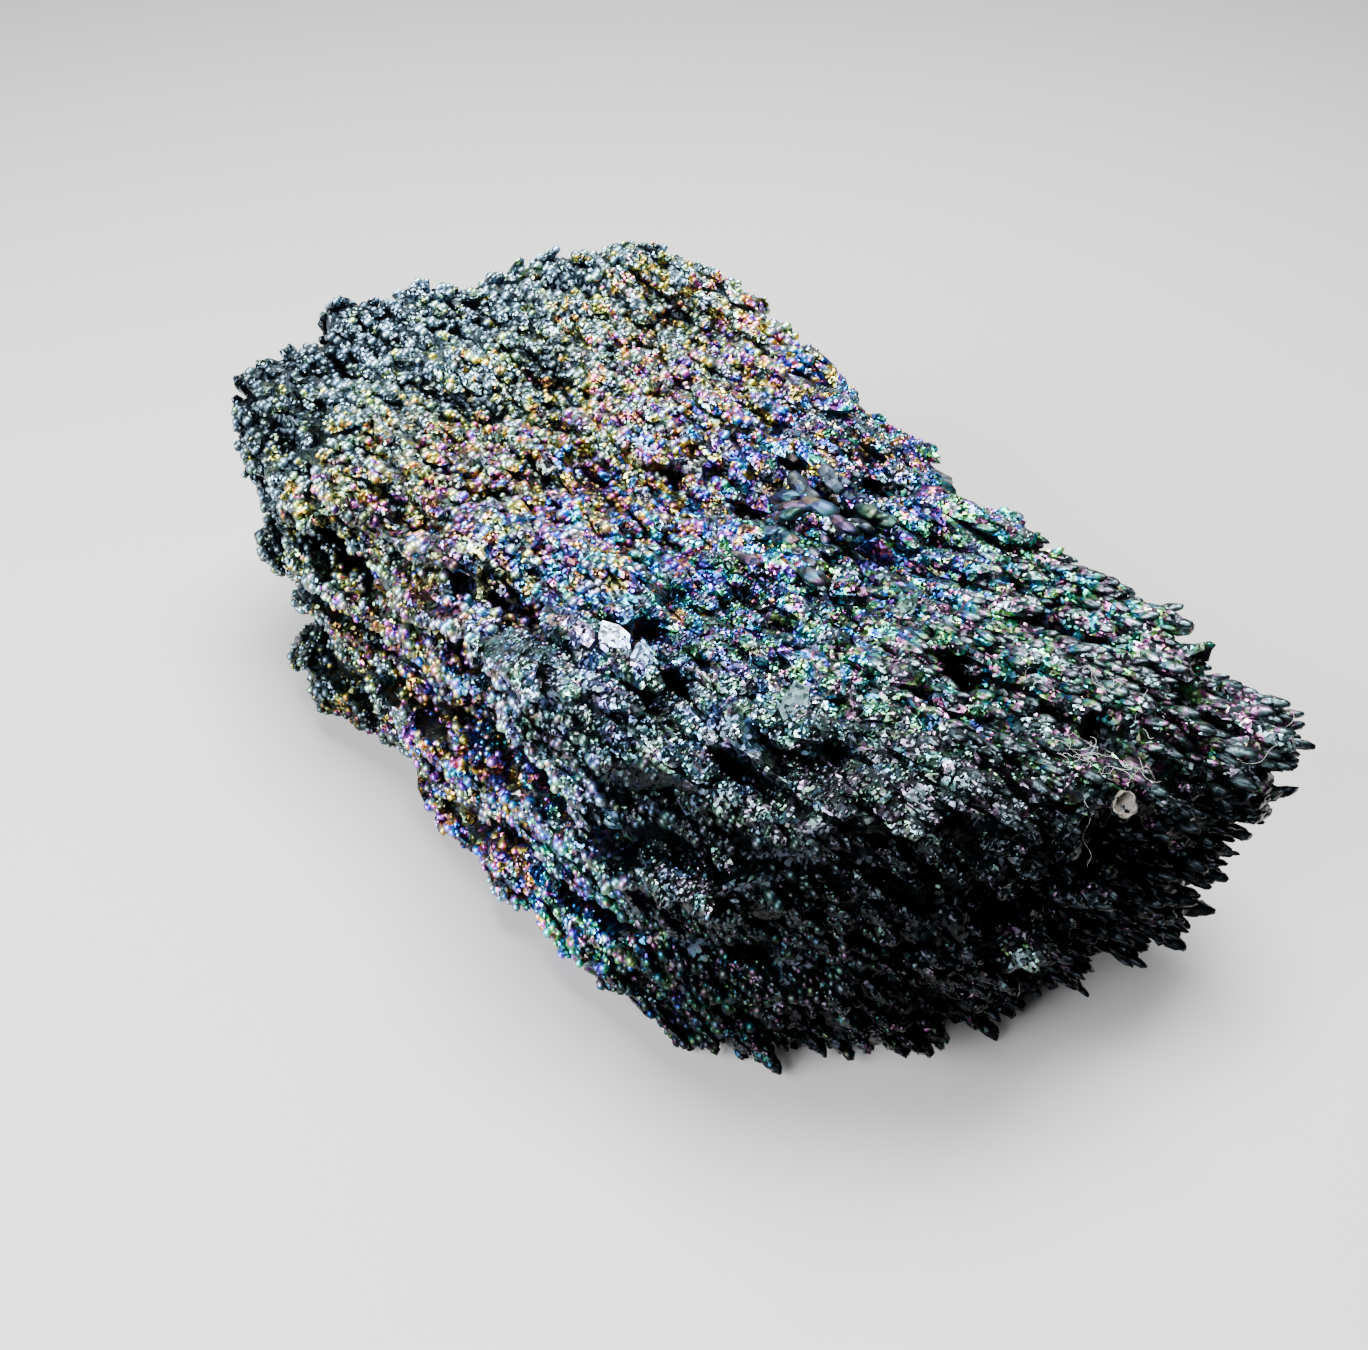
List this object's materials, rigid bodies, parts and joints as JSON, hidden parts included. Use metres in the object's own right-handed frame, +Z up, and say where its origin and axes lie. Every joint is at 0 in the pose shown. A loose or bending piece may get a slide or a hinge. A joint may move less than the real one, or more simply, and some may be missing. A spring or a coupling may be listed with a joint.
{
  "type": "silicon carbide crystal specimen",
  "caption": "Display specimen of furnace-grown silicon carbide: a long rough block of intergrown black iridescent crystals, resting on its underside.",
  "frame": {"origin": "centre of the specimen's plan, on the surface that it rests on", "axes": "+X along the block to its near end, +Y to its right side, +Z up"},
  "size_m": [0.1702, 0.0976, 0.0645],
  "materials": {
    "silicon_carbide": "black glassy to metallic crystal crust, sugar-fine, with bands of thin-film colour"
  },
  "bodies": {
    "root": {"silicon_carbide_crystal": "silicon_carbide"}
  },
  "joints": []
}
